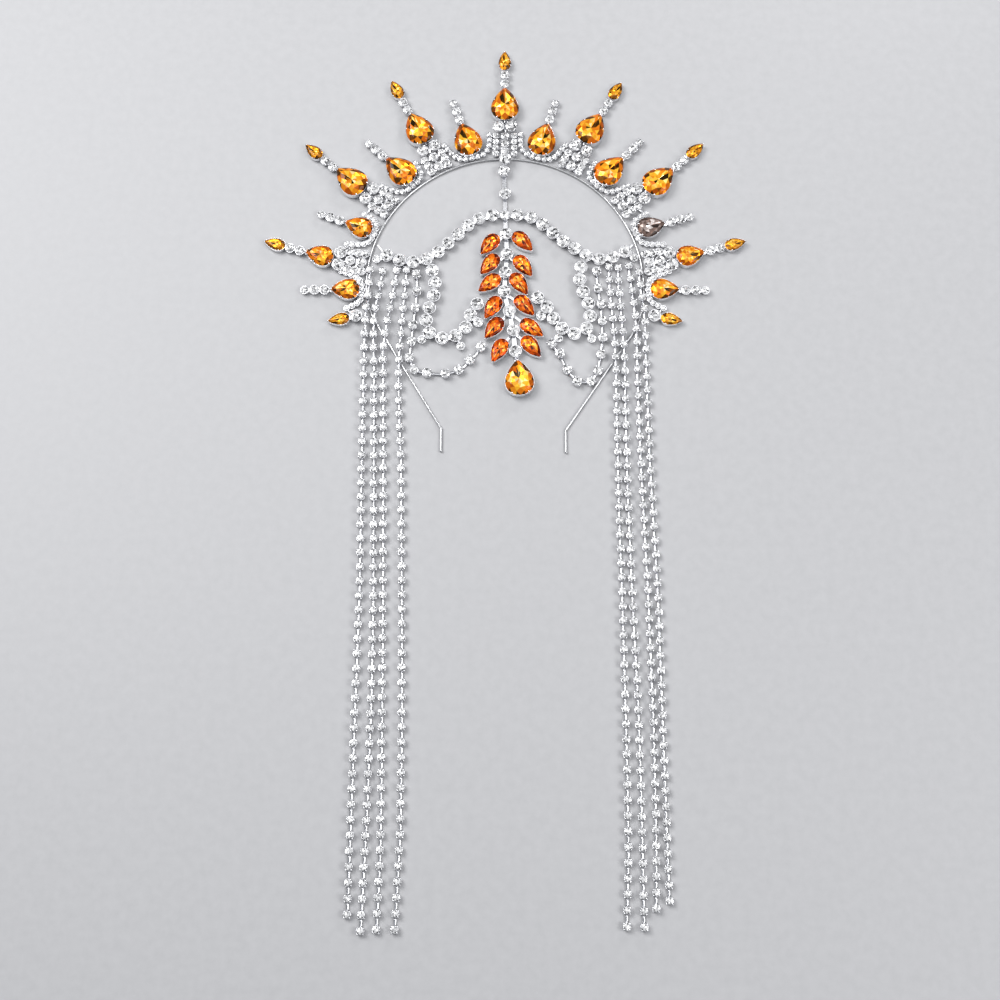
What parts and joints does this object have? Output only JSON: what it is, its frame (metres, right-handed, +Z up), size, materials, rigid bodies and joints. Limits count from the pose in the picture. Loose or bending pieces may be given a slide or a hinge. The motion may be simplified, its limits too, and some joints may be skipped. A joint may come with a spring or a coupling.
{
  "type": "crown headband",
  "caption": "Sunburst crown headband on a wire hoop, with pear stone rays, a leaf strand, swags and long rhinestone fringes at both sides.",
  "frame": {"origin": "centre of the hoop's half circle, on the surface that the crown lies on", "axes": "+X to the crown's right as seen from above, +Y to the crown's top ray, +Z up from the surface"},
  "size_m": [0.2388, 0.435, 0.0063],
  "materials": {
    "wire": "bright plated spring wire",
    "setting_metal": "bright silver plate",
    "rhinestone_chain": "bright silver plate with clear stones",
    "clear_crystal": "clear foil-backed glass",
    "amber_glass": "amber foil-backed glass",
    "honey_glass": "honey foil-backed glass",
    "orange_glass": "orange foil-backed glass",
    "smoky_glass": "smoky foil-backed glass"
  },
  "bodies": {
    "root": {"hoop": "wire", "halo_setting_top": "setting_metal", "halo_setting_left": "setting_metal", "halo_setting_right": "setting_metal", "halo_crystals_top": "clear_crystal", "halo_crystals_left": "clear_crystal", "halo_crystals_right": "clear_crystal", "chain_crystals": "clear_crystal", "brow_chain_left": "rhinestone_chain", "brow_chain_right": "rhinestone_chain", "leaf_strand": "rhinestone_chain", "upper_swag_left": "rhinestone_chain", "upper_swag_right": "rhinestone_chain", "lower_swag_left": "rhinestone_chain", "lower_swag_right": "rhinestone_chain", "fringe_left_1": "rhinestone_chain", "fringe_left_2": "rhinestone_chain", "fringe_left_3": "rhinestone_chain", "fringe_left_4": "rhinestone_chain", "fringe_right_1": "rhinestone_chain", "fringe_right_2": "rhinestone_chain", "fringe_right_3": "rhinestone_chain", "fringe_right_4": "rhinestone_chain", "ray_stone_top": "amber_glass", "ray_stone_left_1": "amber_glass", "ray_stone_left_2": "amber_glass", "ray_stone_left_3": "amber_glass", "ray_stone_left_4": "amber_glass", "ray_stone_left_5": "amber_glass", "ray_stone_left_6": "amber_glass", "ray_stone_left_7": "amber_glass", "ray_stone_right_1": "amber_glass", "ray_stone_right_2": "amber_glass", "ray_stone_right_3": "amber_glass", "ray_stone_right_4": "amber_glass", "ray_stone_right_5": "smoky_glass", "ray_stone_right_6": "amber_glass", "ray_stone_right_7": "amber_glass", "drop_stone": "amber_glass", "tip_stone_top": "honey_glass", "tip_stone_left_1": "honey_glass", "tip_stone_left_2": "honey_glass", "tip_stone_left_3": "honey_glass", "tip_stone_left_4": "honey_glass", "tip_stone_right_1": "honey_glass", "tip_stone_right_2": "honey_glass", "tip_stone_right_3": "honey_glass", "tip_stone_right_4": "honey_glass", "leaf_left_1": "orange_glass", "leaf_left_2": "orange_glass", "leaf_left_3": "orange_glass", "leaf_left_4": "orange_glass", "leaf_left_5": "orange_glass", "leaf_left_6": "orange_glass", "leaf_right_1": "orange_glass", "leaf_right_2": "orange_glass", "leaf_right_3": "orange_glass", "leaf_right_4": "orange_glass", "leaf_right_5": "orange_glass", "leaf_right_6": "orange_glass"}
  },
  "joints": []
}
